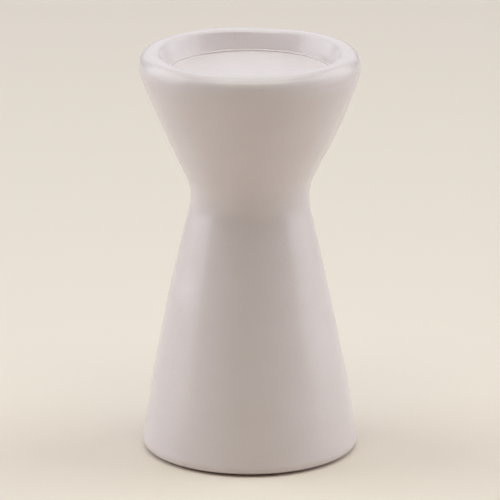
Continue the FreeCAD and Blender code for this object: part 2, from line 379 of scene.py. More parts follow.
def turned_mesh(name: str, grid: TurnedGrid, covers: np.ndarray) -> bpy.types.Mesh:
    """Join a grid of rings into a closed skin.

    A grid point is (radius cos angle, radius sin angle, height). Rings lie at even angles, and the
    last point of each ring is joined to its first. The section's two ends lie on the axis, and each
    is one point that a fan of triangles closes. Walking out and up along the section turns the
    faces outwards.

    Args:
        name: The mesh's name.
        grid: The piece's surface.
        covers: Material index of the stretch that ends at each row.

    Returns:
        The mesh, shaded smooth, with a vector attribute of (cos angle, sin angle, distance along).
    """
    rows, columns = grid.radius.shape
    ring = slice(1, rows - 1)
    around_x = np.broadcast_to(np.cos(grid.angle), (rows, columns))
    around_y = np.broadcast_to(np.sin(grid.angle), (rows, columns))
    place = np.stack((grid.radius * around_x, grid.radius * around_y, grid.height), axis=-1)
    lathe = np.stack((around_x, around_y, np.broadcast_to(grid.along, (rows, columns))), axis=-1)
    poles = np.array([[0.0, 0.0, grid.height[end].mean()] for end in (0, -1)])
    pole_lathe = np.array([[0.0, 0.0, grid.along[end, 0]] for end in (0, -1)])
    points = np.concatenate((place[ring].reshape(-1, 3), poles))
    point_lathe = np.concatenate((lathe[ring].reshape(-1, 3), pole_lathe))

    inner = rows - 2
    index = np.arange(inner * columns).reshape(inner, columns)
    following = np.roll(index, -1, axis=1)
    quads = np.stack((index[:-1], following[:-1], following[1:], index[1:]), axis=-1).reshape(-1, 4)
    first, last = inner * columns, inner * columns + 1
    low_fan = np.stack((np.full(columns, first), following[0], index[0]), axis=-1)
    high_fan = np.stack((np.full(columns, last), index[-1], following[-1]), axis=-1)
    fans = np.concatenate((low_fan, high_fan))

    corners = np.concatenate((quads.ravel(), fans.ravel()))
    sizes = np.concatenate((np.full(len(quads), 4), np.full(len(fans), 3)))
    starts = np.concatenate(([0], np.cumsum(sizes)[:-1]))
    slots = np.concatenate((
        np.repeat(covers[2 : rows - 1], columns),
        np.full(columns, covers[1]),
        np.full(columns, covers[-1]),
    ))

    mesh = bpy.data.meshes.new(name)
    mesh.vertices.add(len(points))
    mesh.vertices.foreach_set("co", points.astype(np.float32).ravel())
    mesh.loops.add(len(corners))
    mesh.loops.foreach_set("vertex_index", corners.astype(np.int32))
    mesh.polygons.add(len(sizes))
    mesh.polygons.foreach_set("loop_start", starts.astype(np.int32))
    mesh.polygons.foreach_set("material_index", slots.astype(np.int32))
    mesh.polygons.foreach_set("use_smooth", np.ones(len(sizes), dtype=bool))
    attribute = mesh.attributes.new(LATHE, "FLOAT_VECTOR", "POINT")
    attribute.data.foreach_set("vector", point_lathe.astype(np.float32).ravel())
    mesh.update(calc_edges=True)
    mesh.validate()
    mesh.set_sharp_from_angle(angle=CREASE_ANGLE)
    return mesh


# ---------------------------------------------------------------- finishes


class NodeSheet:
    """A material's node tree, with short calls for the nodes that the finishes share."""

    def __init__(self, name: str) -> None:
        """Start a material with one Principled shader.

        Args:
            name: The material's name.
        """
        self.material = bpy.data.materials.new(name)
        self.material.use_nodes = True
        self.tree = self.material.node_tree
        self.shader = next(node for node in self.tree.nodes if node.type == "BSDF_PRINCIPLED")

    def node(self, kind: str, **settings: object) -> bpy.types.Node:
        """Add a node.

        Args:
            kind: The node's type.
            settings: Its plain properties.

        Returns:
            The node.
        """
        made = self.tree.nodes.new(kind)
        for key, value in settings.items():
            setattr(made, key, value)
        return made

    def link(self, source: Socket, target: Socket) -> None:
        """Join an output to an input."""
        self.tree.links.new(source, target)

    def place(self, grain: Grain, lathe: bool = False) -> Socket:
        """A pattern's coordinates.

        Args:
            grain: How many pattern lengths go into a metre on each axis.
            lathe: Whether to follow the turning, as (cos angle, sin angle, distance along the
                section), in place of the object's own coordinates.

        Returns:
            The scaled coordinates.
        """
        mapping = self.node("ShaderNodeMapping")
        mapping.inputs["Scale"].default_value = grain
        if lathe:
            source = self.node("ShaderNodeAttribute", attribute_name=LATHE).outputs["Vector"]
        else:
            source = self.node("ShaderNodeTexCoord").outputs["Object"]
        self.link(source, mapping.inputs["Vector"])
        return mapping.outputs["Vector"]

    def noise(self, place: Socket, detail: float, roughness: float = 0.5, twist: float = 0.0) -> Socket:
        """Cloudy noise.

        Args:
            place: The pattern's coordinates.
            detail: How many finer layers are added.
            roughness: How strong each is, beside the one before.
            twist: How far the pattern is dragged about.

        Returns:
            The noise, from 0 to 1.
        """
        noise = self.node("ShaderNodeTexNoise")
        noise.inputs["Scale"].default_value = 1.0
        noise.inputs["Detail"].default_value = detail
        noise.inputs["Roughness"].default_value = roughness
        noise.inputs["Distortion"].default_value = twist
        self.link(place, noise.inputs["Vector"])
        return noise.outputs["Fac"]

    def span(self, source: Socket, ends: Span, to_ends: Span) -> Socket:
        """Stretch a number from one span to another, held at the ends.

        Args:
            source: The number.
            ends: Where the first span starts and ends.
            to_ends: Where the second one does.

        Returns:
            The stretched number.
        """
        stretch = self.node("ShaderNodeMapRange")
        for name, value in zip(("From Min", "From Max", "To Min", "To Max"), ends + to_ends):
            stretch.inputs[name].default_value = value
        self.link(source, stretch.inputs["Value"])
        return stretch.outputs["Result"]

    def math(self, operation: str, first: Socket, second: Socket | float) -> Socket:
        """Combine two numbers.

        Args:
            operation: What to do with them.
            first: The first number.
            second: The second one.

        Returns:
            The result.
        """
        node = self.node("ShaderNodeMath", operation=operation)
        self.link(first, node.inputs[0])
        if isinstance(second, float):
            node.inputs[1].default_value = second
        else:
            self.link(second, node.inputs[1])
        return node.outputs[0]

    def blend(self, share: Socket, first: Socket | Colour, second: Socket | Colour) -> Socket:
        """Mix two colours.

        Args:
            share: How much of the second, from 0 to 1.
            first: The first colour.
            second: The second one.

        Returns:
            The mixed colour.
        """
        mix = self.node("ShaderNodeMix", data_type="RGBA")
        self.link(share, mix.inputs["Factor"])
        for colour, name in ((first, "A"), (second, "B")):
            socket = next(s for s in mix.inputs if s.name == name and s.type == "RGBA")
            if isinstance(colour, tuple):
                socket.default_value = (*colour, 1.0)
            else:
                self.link(colour, socket)
        return next(s for s in mix.outputs if s.type == "RGBA")

    def bump(self, layers: list[tuple[Socket, float]]) -> None:
        """Raise the surface by some layers, one on another.

        Args:
            layers: For each, its height from 0 to 1 and what 1 stands for.
        """
        below = None
        for source, depth in layers:
            bump = self.node("ShaderNodeBump")
            bump.inputs["Strength"].default_value = 1.0
            bump.inputs["Distance"].default_value = depth
            self.link(source, bump.inputs["Height"])
            if below is not None:
                self.link(below, bump.inputs["Normal"])
            below = bump.outputs["Normal"]
        self.link(below, self.shader.inputs["Normal"])


@dataclass(frozen=True)
class SatinPaint:
    """Thick off-white satin paint, brushed on over turned and sanded wood or pressed sheet.

    Args:
        name: The material's name.
        colour: The paint's colour.
        shade: The slightly deeper colour where the paint lies thicker.
        speck: The colour of dust and pinholes under the paint.
        gloss: Roughness where the brush left the paint smoothest, and where it is dullest.
        stroke_depth: Height of the brush's fine strokes round the piece.
        peel_depth: Height of the paint's fine dimples.
        speck_spacing: Typical distance between the places where a pinhole may be.
        speck_radius: A pinhole's radius.
        speck_absent: Share of those places that have no pinhole.
        speck_cover: How far a pinhole hides the paint's colour, at most.
        clouds: Grain of the thicker and thinner paint.
        cloud_span: The noise where the paint starts to thicken, and where it is thickest.
        strokes: Grain of the brush's strokes, along the turning.
        dimples: Grain of the dimples.
        dulling: Grain of the duller patches.
        index: The paint's index of refraction.
    """

    name: str
    colour: Colour = (0.79, 0.725, 0.75)
    shade: Colour = (0.77, 0.705, 0.725)
    speck: Colour = (0.56, 0.50, 0.47)
    gloss: Span = (0.20, 0.265)
    stroke_depth: float = 0.030 * MM
    peel_depth: float = 0.075 * MM
    speck_spacing: float = 6.0 * MM
    speck_radius: float = 0.33 * MM
    speck_absent: float = 0.45
    speck_cover: float = 0.6
    clouds: Grain = (42.0, 42.0, 60.0)
    cloud_span: Span = (0.35, 0.68)
    strokes: Grain = (7.0, 7.0, 1100.0)
    dimples: Grain = (760.0, 760.0, 620.0)
    dulling: Grain = (210.0, 210.0, 320.0)
    index: float = 1.5

    def material(self) -> bpy.types.Material:
        """Build the paint: clouded colour with pinholes, uneven gloss, strokes and dimples.

        Returns:
            The material.
        """
        sheet = NodeSheet(self.name)
        clouds = sheet.noise(sheet.place(self.clouds), detail=3.0)
        thick = sheet.span(clouds, self.cloud_span, WHOLE)
        colour = sheet.blend(thick, self.colour, self.shade)
        colour = sheet.blend(self._specks(sheet), colour, self.speck)
        sheet.link(colour, sheet.shader.inputs["Base Color"])

        strokes = sheet.noise(sheet.place(self.strokes, lathe=True), detail=2.0, twist=0.4)
        peel = sheet.noise(sheet.place(self.dimples), detail=2.0)
        dull = sheet.noise(sheet.place(self.dulling), detail=2.0)
        gloss = sheet.span(dull, NOISE_SPAN, self.gloss)
        sheet.link(gloss, sheet.shader.inputs["Roughness"])
        sheet.shader.inputs["IOR"].default_value = self.index
        sheet.bump([(strokes, self.stroke_depth), (peel, self.peel_depth)])
        return sheet.material

    def _specks(self, sheet: NodeSheet) -> Socket:
        """Scatter pinholes: near the seed of a cell, in some of the cells.

        Args:
            sheet: The paint's node tree.

        Returns:
            How far a pinhole hides the paint's colour at each point.
        """
        per_metre = 1.0 / self.speck_spacing
        cells = sheet.node("ShaderNodeTexVoronoi")
        cells.inputs["Scale"].default_value = 1.0
        sheet.link(sheet.place((per_metre, per_metre, per_metre)), cells.inputs["Vector"])
        radius = self.speck_radius / self.speck_spacing
        near = sheet.span(cells.outputs["Distance"], (0.5 * radius, radius), (1.0, 0.0))
        split = sheet.node("ShaderNodeSeparateColor")
        sheet.link(cells.outputs["Color"], split.inputs["Color"])
        chosen = sheet.math("GREATER_THAN", split.outputs["Red"], self.speck_absent)
        return sheet.math("MULTIPLY", sheet.math("MULTIPLY", near, chosen), self.speck_cover)


@dataclass(frozen=True)
class BareBeech:
    """Bare beech: pale brown wood, its grain along the candlestick's axis, with short flecks.

    Args:
        name: The material's name.
        pale: Colour of the spring wood.
        dark: Colour of the summer wood.
        fleck: Colour of the flecks.
        pore_depth: Depth of the pores.
        bands: Grain of the growth bands.
        flecks: Grain of the flecks.
        fleck_span: The noise where a fleck starts, and where it is darkest.
        fleck_cover: How far a fleck hides the wood's colour, at most.
        pores: Grain of the pores.
        gloss: Roughness between the pores, and in them.
    """

    name: str = "bare_beech"
    pale: Colour = (0.60, 0.40, 0.24)
    dark: Colour = (0.42, 0.25, 0.135)
    fleck: Colour = (0.26, 0.14, 0.07)
    pore_depth: float = 0.04 * MM
    bands: Grain = (420.0, 130.0, 9.0)
    flecks: Grain = (1300.0, 1300.0, 150.0)
    fleck_span: Span = (0.62, 0.72)
    fleck_cover: float = 0.7
    pores: Grain = (2600.0, 2600.0, 110.0)
    gloss: Span = (0.50, 0.68)

    def material(self) -> bpy.types.Material:
        """Build the wood: soft growth bands, darker flecks, and pores along the grain.

        Returns:
            The material.
        """
        sheet = NodeSheet(self.name)
        bands = sheet.noise(sheet.place(self.bands), detail=4.0, twist=0.6)
        flecks = sheet.noise(sheet.place(self.flecks), detail=2.0)
        pores = sheet.noise(sheet.place(self.pores), detail=3.0)
        wood = sheet.blend(sheet.span(bands, NOISE_SPAN, WHOLE), self.pale, self.dark)
        fleck = sheet.span(flecks, self.fleck_span, (0.0, self.fleck_cover))
        wood = sheet.blend(fleck, wood, self.fleck)
        sheet.link(wood, sheet.shader.inputs["Base Color"])
        gloss = sheet.span(pores, NOISE_SPAN, self.gloss)
        sheet.link(gloss, sheet.shader.inputs["Roughness"])
        sheet.bump([(pores, self.pore_depth)])
        return sheet.material


@dataclass(frozen=True)
class PressedFelt:
    """Warm grey pressed wool felt, with tangled fibres and a slight nap.

    Args:
        name: The material's name.
        wool: Colour of the felt's body.
        fibre: Colour of the loose fibres on it.
        nap_depth: Height of the nap.
        tangle: Grain of the fibres.
        fibre_span: The noise where a fibre starts, and where it is palest.
        clumps: Grain of the thicker places.
        clump_span: The noise where a clump starts, and where it is thickest.
        clump_cover: How far a clump hides the fibres, at most.
        roughness: Its roughness.
        sheen: Weight of the fibres' soft sheen.
        sheen_roughness: How soft the sheen is.
    """

    name: str = "pressed_felt"
    wool: Colour = (0.150, 0.135, 0.120)
    fibre: Colour = (0.270, 0.250, 0.225)
    nap_depth: float = 0.22 * MM
    tangle: Grain = (1500.0, 900.0, 1200.0)
    fibre_span: Span = (0.42, 0.66)
    clumps: Grain = (240.0, 240.0, 240.0)
    clump_span: Span = (0.3, 0.75)
    clump_cover: float = 0.45
    roughness: float = 0.95
    sheen: float = 0.35
    sheen_roughness: float = 0.5

    def material(self) -> bpy.types.Material:
        """Build the felt: clouded wool with lighter fibres, rough, with a soft sheen.

        Returns:
            The material.
        """
        sheet = NodeSheet(self.name)
        tangle = sheet.noise(sheet.place(self.tangle), detail=4.0, roughness=0.7, twist=2.5)
        clumps = sheet.noise(sheet.place(self.clumps), detail=3.0)
        wool = sheet.blend(sheet.span(tangle, self.fibre_span, WHOLE), self.wool, self.fibre)
        clump = sheet.span(clumps, self.clump_span, (0.0, self.clump_cover))
        wool = sheet.blend(clump, wool, self.wool)
        sheet.link(wool, sheet.shader.inputs["Base Color"])
        sheet.shader.inputs["Roughness"].default_value = self.roughness
        sheet.shader.inputs["Sheen Weight"].default_value = self.sheen
        sheet.shader.inputs["Sheen Roughness"].default_value = self.sheen_roughness
        sheet.bump([(clumps, self.nap_depth), (tangle, 0.5 * self.nap_depth)])
        return sheet.material


@dataclass(frozen=True)
class StudioPaper:
    """Pale matt background paper.

    Args:
        name: The material's name.
        colour: The paper's colour.
        shade: The slightly deeper colour in its tooth.
        tooth: Grain of the tooth.
        roughness: Its roughness.
        shine: How much of a plain surface's shine it keeps.
    """

    name: str = "studio_paper"
    colour: Colour = (0.865, 0.79, 0.71)
    shade: Colour = (0.845, 0.77, 0.69)
    tooth: Grain = (900.0, 900.0, 900.0)
    roughness: float = 0.9
    shine: float = 0.2

    def material(self) -> bpy.types.Material:
        """Build the paper: nearly even, with a fine tooth.

        Returns:
            The material.
        """
        sheet = NodeSheet(self.name)
        tooth = sheet.noise(sheet.place(self.tooth), detail=2.0)
        sheet.link(sheet.blend(tooth, self.colour, self.shade), sheet.shader.inputs["Base Color"])
        sheet.shader.inputs["Roughness"].default_value = self.roughness
        sheet.shader.inputs["Specular IOR Level"].default_value = self.shine
        return sheet.material


# ---------------------------------------------------------------- the candlestick's pieces


@dataclass
class Waist:
    """The hollow that both turned pieces share, with their joint face at its narrowest height.

    Args:
        height: Height of the joint face, from the frame.
        radius: The candlestick's narrowest radius.
        hollow: Radius of the hollow's arc.
        core: Share of the narrowest radius inside which nothing is sanded.
        skin: Share of the narrowest radius outside which everything is.
    """

    height: float
    radius: float = 26.4 * MM
    hollow: float = 24.85 * MM
    core: float = 0.90
    skin: float = 0.98

    def centre(self) -> Point:
        """The hollow's centre, outside the candlestick."""
        return (self.radius + self.hollow, self.height)

    def outside(self, radius: np.ndarray) -> np.ndarray:
        """Share of the sanding at each radius: none in the joint, and all at the skin."""
        return smooth_step(radius, self.core * self.radius, self.skin * self.radius)


@dataclass
class DowelFit:
    """The dowel across the waist and the blind holes that hold it.

    Args:
        radius: The dowel's radius.
        hole_radius: Radius of the holes.
        glue_gap: Room for glue past each of its ends.
        chamfer: Chamfer of its ends.
        flutes: How many flutes it has.
        flute_depth: Their depth.
        flute_width: The angle that each takes up, seen from the axis.
    """

    radius: float = 6.0 * MM
    hole_radius: float = 6.05 * MM
    glue_gap: float = 1.0 * MM
    chamfer: float = 1.0 * MM
    flutes: int = 12
    flute_depth: float = 0.6 * MM
    flute_width: float = math.radians(11.0)


Finish = SatinPaint | BareBeech | PressedFelt | StudioPaper


def linked(name: str, mesh: bpy.types.Mesh, finishes: tuple[Finish, ...]) -> bpy.types.Object:
    """Put a mesh in the scene.

    Args:
        name: The object's name.
        mesh: Its mesh.
        finishes: Its finishes, in the order of the mesh's material indices.

    Returns:
        The object.
    """
    for finish in finishes:
        mesh.materials.append(finish.material())
    made = bpy.data.objects.new(name, mesh)
    bpy.context.scene.collection.objects.link(made)
    return made


@dataclass(kw_only=True)
class TurnedPiece:
    """A piece turned on the lathe.

    Args:
        name: The piece's name.
        node: The frame's node that it stands for.
        slot: The record's material slot for its finish; not used.
        columns: Grid points round the piece.
        step: Longest grid gap along its outer side.
    """

    name: str
    node: str
    slot: Slot
    columns: int = 288
    step: float = 1.1 * MM

    def section(self) -> Section:
        """Half of its section, from the axis round its outside and back to the axis."""
        raise NotImplementedError

    def shaped(self, grid: TurnedGrid) -> Shape:
        """Its radii and heights as they were turned; pieces finished by hand change them."""
        return grid.radius, grid.height

    def mesh(self) -> bpy.types.Mesh:
        """Carry the section round the axis and finish its grid by hand.

        Returns:
            The mesh.
        """
        radii, heights, covers = self.section().points()
        gaps = np.hypot(np.diff(radii), np.diff(heights))
        grid = TurnedGrid(
            angle=(np.arange(self.columns) * TURN / self.columns)[None, :],
            radius=np.repeat(radii[:, None], self.columns, axis=1),
            height=np.repeat(heights[:, None], self.columns, axis=1),
            along=np.concatenate(([0.0], np.cumsum(gaps)))[:, None],
        )
        grid.radius, grid.height = self.shaped(grid)
        return turned_mesh(self.name, grid, covers)

    def build(self, *finishes: Finish) -> None:
        """Make the piece, and let it ride on the candlestick in place of the frame's node.

        Args:
            finishes: Its own finish, and the bare wood's where some of it is left bare.
        """
        made = linked(self.name, self.mesh(), finishes)
        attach(made, BODY)
        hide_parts(self.node)
        log.info("%s: %d points, in place of %s", self.name, len(made.data.vertices), self.node)


@dataclass(kw_only=True)
class BaseCone(TurnedPiece):
    """The turned base: a slightly bowed cone on a rounded foot, recessed below for the felt."""

    name: str = "base_cone"
    node: str = "lower_body"
    slot: Slot = Slot.PAINTED_WOOD
    waist: Waist
    dowel: DowelFit
    hand: HandWork
    leans: tuple[Lean, ...]
    bow: float = 1265.0 * MM
    foot_radius: float = 48.2 * MM
    foot_edge: float = 3.5 * MM
    felt_recess_radius: float = 42.0 * MM
    recess_margin: float = 0.1 * MM
    felt_thickness: float = 1.5 * MM

    def section(self) -> Section:
        """Felt recess, foot, bowed side, half of the waist's hollow, joint face, dowel hole.

        Returns:
            The section, from the axis and back to it.
        """
        low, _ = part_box(self.node)
        dowel_low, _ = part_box("waist_dowel")
        flat = self.foot_radius - self.foot_edge
        foot_centre = (flat, low.z + self.foot_edge)
        hollow_centre = self.waist.centre()
        to_foot, to_hollow = self.bow - self.foot_edge, self.bow + self.waist.hollow
        centre = bow_centre(foot_centre, to_foot, hollow_centre, to_hollow)
        foot_turn = direction(centre, foot_centre)
        waist_turn = direction(centre, hollow_centre)
        hole = self.dowel.hole_radius
        fine, coarse = 0.25 * self.step, 4.0 * self.step
        section = Section().start(0.0, self.felt_thickness)
        section.line(self.felt_recess_radius, self.felt_thickness, coarse)
        section.line(self.felt_recess_radius, low.z, self.step)
        section.line(flat, low.z, self.step)
        section.arc(Arc(foot_centre, self.foot_edge, -RIGHT_ANGLE, foot_turn), 0.35 * self.step)
        section.arc(Arc(centre, self.bow, foot_turn, waist_turn), self.step)
        section.arc(Arc(hollow_centre, self.waist.hollow, math.pi + waist_turn, math.pi), fine)
        section.line(hole, self.waist.height, coarse, Cover.BARE)
        section.line(hole, dowel_low.z, coarse, Cover.BARE)
        section.line(0.0, dowel_low.z, coarse, Cover.BARE)
        return section

    def shaped(self, grid: TurnedGrid) -> Shape:
        """Sand the outside: it sinks along its normal, by nothing where the foot touches down.

        Args:
            grid: The piece as it was turned.

        Returns:
            The finished radii and heights.
        """
        radius, height = grid.radius, grid.height
        low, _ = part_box(self.node)
        foot_top = low.z + self.foot_edge
        outside = self.waist.outside(radius)
        past_recess = radius > self.felt_recess_radius
        outside = np.where(past_recess, smooth_step(height, low.z, foot_top), outside)
        in_recess = radius < self.felt_recess_radius + self.recess_margin
        outside = np.where((height < foot_top) & in_recess, 0.0, outside)
        depth = outside * self.hand.sink(grid.angle, height)
        out, up = sanding_direction(grid, self.waist.height)
        lean = outside * sum(lean.rise(grid.angle, height) for lean in self.leans)
        return radius + lean - depth * out, height - depth * up


@dataclass(kw_only=True)
class FlaredHead(TurnedPiece):
    """The turned head: a bowed flare to a rolled rim, with a shallow dish in its top."""

    name: str = "flared_head"
    node: str = "cup"
    slot: Slot = Slot.PAINTED_WOOD
    waist: Waist
    dowel: DowelFit
    hand: HandWork
    leans: tuple[Lean, ...]
    swells: tuple[Swell, ...]
    bands: tuple[SandedBand, ...]
    bow: float = 443.0 * MM
    rim_radius: float = 49.0 * MM
    rim_width: float = 9.1 * MM
    rim_side: float = 14.5 * MM
    rim_top: float = 4.8 * MM
    rim_drop: float = 6.6 * MM
    crest_fall: float = 17.4 * MM
    mouth_edge: float = 1.8 * MM
    floor_radius: float = 37.2 * MM
    seat_radius: float = 36.93 * MM
    seat_depth: float = 2.0 * MM
    wall_fade: float = 2.5 * MM
    headroom: float = 0.3 * MM

    def section(self) -> Section:
        """Dowel hole, joint face, hollow, flare, rolled rim, dish wall, ledge and pan seat.

        Returns:
            The section, from the axis and back to it.
        """
        _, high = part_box(self.node)
        _, dowel_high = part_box("waist_dowel")
        pan_low, pan_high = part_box("candle_pan")
        crest = high.z - self.headroom
        hollow_centre = self.waist.centre()
        side_centre = (self.rim_radius - self.rim_side, crest - self.rim_drop)
        to_hollow, to_side = self.bow + self.waist.hollow, self.bow - self.rim_side
        centre = bow_centre(hollow_centre, to_hollow, side_centre, to_side)
        waist_turn = direction(centre, hollow_centre)
        rim_turn = direction(centre, side_centre) - TURN

        rise = crest - self.rim_top - side_centre[1]
        top_radius = side_centre[0] + math.sqrt((self.rim_side - self.rim_top) ** 2 - rise**2)
        top_centre = (top_radius, crest - self.rim_top)
        shoulder = direction(side_centre, top_centre)

        fall_centre = (top_radius, crest - self.crest_fall)
        edge_radius = self.rim_radius - self.rim_width + self.mouth_edge
        drop = math.sqrt((self.crest_fall - self.mouth_edge) ** 2 - (top_radius - edge_radius) ** 2)
        edge_centre = (edge_radius, fall_centre[1] + drop)
        fall_turn = direction(fall_centre, edge_centre)
        foot = (self.floor_radius, pan_high.z)
        reach = math.hypot(edge_centre[0] - foot[0], edge_centre[1] - foot[1])
        wall_turn = direction(foot, edge_centre) + math.asin(self.mouth_edge / reach)

        hole = self.dowel.hole_radius
        hole_top = dowel_high.z + self.dowel.glue_gap
        fine, coarse = 0.25 * self.step, 4.0 * self.step
        section = Section().start(0.0, hole_top)
        section.line(hole, hole_top, coarse, Cover.BARE)
        section.line(hole, self.waist.height, coarse, Cover.BARE)
        section.line(self.waist.radius, self.waist.height, coarse, Cover.BARE)
        section.arc(Arc(hollow_centre, self.waist.hollow, math.pi, waist_turn - math.pi), fine)
        section.arc(Arc(centre, self.bow, waist_turn - TURN, rim_turn), self.step)
        section.arc(Arc(side_centre, self.rim_side, rim_turn, shoulder), 2.0 * fine)
        section.arc(Arc(top_centre, self.rim_top, shoulder, RIGHT_ANGLE), fine)
        section.arc(Arc(fall_centre, self.crest_fall, RIGHT_ANGLE, fall_turn), 2.0 * fine)
        section.arc(Arc(edge_centre, self.mouth_edge, fall_turn, wall_turn + RIGHT_ANGLE), fine)
        section.line(*foot, 0.7 * self.step)
        section.line(self.seat_radius, pan_high.z, self.step)
        section.line(self.seat_radius, pan_low.z, self.step)
        section.line(0.0, pan_low.z, coarse)
        return section

    def shaped(self, grid: TurnedGrid) -> Shape:
        """Sand the outside and the rim, and let the rim's crest rise and fall.

        Sanding sinks the surface along its normal, and fades out down the dish's wall. The crest's
        swells fade from full at the crest to nothing at the rim's widest height, and down the wall
        to nothing at its foot.

        Args:
            grid: The piece as it was turned.

        Returns:
            The finished radii and heights.
        """
        angle, radius, height = grid.angle, grid.radius, grid.height
        _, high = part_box(self.node)
        _, dish_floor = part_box("candle_pan")
        crest = high.z - self.headroom
        outside = self.waist.outside(radius)
        in_dish = (radius < self.rim_radius - self.rim_width) & (height > dish_floor.z - self.seat_depth)
        wall = smooth_step(height, dish_floor.z, dish_floor.z + self.wall_fade)
        depth = np.where(in_dish, wall, outside) * self.hand.sink(angle, height)
        past_crest = grid.along[np.argmax(height[:, 0])] - grid.along
        near_rim = smooth_step(height, crest - 2.0 * self.rim_drop, crest - self.rim_drop)
        depth = depth + near_rim * sum(band.sink(angle, past_crest) for band in self.bands)
        out, up = sanding_direction(grid, self.waist.height)
        share = np.where(in_dish, wall, 1.0) * smooth_step(height, crest - self.rim_drop, crest)
        rise = share * sum(swell.at(angle) for swell in self.swells)
        lean = outside * sum(lean.rise(angle, height) for lean in self.leans)
        lean = np.where(height > dish_floor.z, 0.0, lean)
        made_radius = np.minimum(radius + lean - depth * out, self.rim_radius)
        return made_radius, np.minimum(height - depth * up + rise, high.z)


@dataclass(kw_only=True)
class CandlePan(TurnedPiece):
    """The thin pressed pan bedded in the dish, with a low rounded lip round the candle's foot."""

    name: str = "pan"
    node: str = "candle_pan"
    slot: Slot = Slot.PAINTED_STEEL
    radius: float = 36.9 * MM
    wall: float = 0.9 * MM
    sheet: float = 0.9 * MM
    lip_round: float = 0.4 * MM
    lip_bead: float = 0.12 * MM
    corner: float = 0.35 * MM
    foot_round: float = 0.25 * MM

    def section(self) -> Section:
        """Underside, outer wall, rounded lip, inner wall, rounded corner and floor.

        Returns:
            The section, from the axis and back to it.
        """
        low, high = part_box(self.node)
        floor = low.z + self.sheet
        inner = self.radius - self.wall
        fine = 0.1 * self.step
        foot_centre = (self.radius - self.foot_round, low.z + self.foot_round)
        outer_lip = (self.radius - self.lip_bead, high.z - self.lip_bead)
        inner_lip = (inner + self.lip_round, high.z - self.lip_round)
        corner_centre = (inner - self.corner, floor + self.corner)
        section = Section().start(0.0, low.z)
        section.line(foot_centre[0], low.z, 4.0 * self.step)
        section.arc(Arc(foot_centre, self.foot_round, -RIGHT_ANGLE, 0.0), fine)
        section.line(self.radius, outer_lip[1], self.step)
        section.arc(Arc(outer_lip, self.lip_bead, 0.0, RIGHT_ANGLE), fine)
        section.line(inner_lip[0], high.z, self.step)
        section.arc(Arc(inner_lip, self.lip_round, RIGHT_ANGLE, math.pi), fine)
        section.line(inner, corner_centre[1], self.step)
        section.arc(Arc(corner_centre, self.corner, 0.0, -RIGHT_ANGLE), fine)
        section.line(0.0, floor, 2.0 * self.step)
        return section


@dataclass(kw_only=True)
class FeltPad(TurnedPiece):
    """The felt disc under the foot, its cut edge slightly rounded and ragged."""

    name: str = "foot_felt"
    node: str = "felt_pad"
    slot: Slot = Slot.FELT
    edge_round: float = 0.35 * MM
    ragged: float = 0.10 * MM
    ragged_reach: float = 2.0 * MM
    tufts: float = 61.0
    clumps: float = 7.0

    def section(self) -> Section:
        """Underside, rounded edge, top.

        Returns:
            The section, from the axis and back to it.
        """
        low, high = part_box(self.node)
        fine = 0.1 * self.step
        centre_radius = high.x - self.edge_round
        section = Section().start(0.0, low.z)
        section.line(centre_radius, low.z, 2.0 * self.step)
        lower = (centre_radius, low.z + self.edge_round)
        upper = (centre_radius, high.z - self.edge_round)
        section.arc(Arc(lower, self.edge_round, -RIGHT_ANGLE, 0.0), fine)
        section.line(high.x, upper[1], 0.3 * self.step)
        section.arc(Arc(upper, self.edge_round, 0.0, RIGHT_ANGLE), fine)
        section.line(0.0, high.z, 4.0 * self.step)
        return section

    def shaped(self, grid: TurnedGrid) -> Shape:
        """Draw the cut edge in by a sine wave of the angle, which a slower one swells and stills.

        Args:
            grid: The piece as it was turned.

        Returns:
            The finished radii and heights.
        """
        _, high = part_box(self.node)
        inwards = high.x - grid.radius
        edge = np.clip(1.0 - inwards / self.ragged_reach, 0.0, 1.0)
        slow = np.sin(RIGHT_ANGLE * np.sin(self.clumps * grid.angle + 1.0))
        wave = np.sin(self.tufts * grid.angle) * slow
        return grid.radius - edge * self.ragged * (0.5 + 0.5 * wave), grid.height


@dataclass(kw_only=True)
class FlutedDowel(TurnedPiece):
    """The beech dowel glued across the waist, with chamfered ends and straight glue flutes."""

    name: str = "dowel"
    node: str = "waist_dowel"
    slot: Slot = Slot.BARE_WOOD
    fit: DowelFit

    def section(self) -> Section:
        """Lower end, chamfer, side, chamfer, upper end.

        Returns:
            The section, from the axis and back to it.
        """
        low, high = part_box(self.node)
        radius, chamfer = self.fit.radius, self.fit.chamfer
        section = Section().start(0.0, low.z)
        section.line(radius - chamfer, low.z, self.step)
        section.line(radius, low.z + chamfer, 0.5 * self.step)
        section.line(radius, high.z - chamfer, self.step)
        section.line(radius - chamfer, high.z, 0.5 * self.step)
        section.line(0.0, high.z, self.step)
        return section

    def shaped(self, grid: TurnedGrid) -> Shape:
        """Press the flutes: a cosine hollow at each flute, only near the outer radius.

        Args:
            grid: The piece as it was turned.

        Returns:
            The finished radii and heights.
        """
        pitch = TURN / self.fit.flutes
        away = np.abs((grid.angle + 0.5 * pitch) % pitch - 0.5 * pitch) / self.fit.flute_width
        hollow = np.where(away < 0.5, np.cos(math.pi * away), 0.0)
        rim = self.fit.radius - self.fit.flute_depth
        outer = np.clip((grid.radius - rim) / self.fit.flute_depth, 0.0, 1.0)
        return grid.radius - outer * self.fit.flute_depth * hollow, grid.height


# ---------------------------------------------------------------- studio


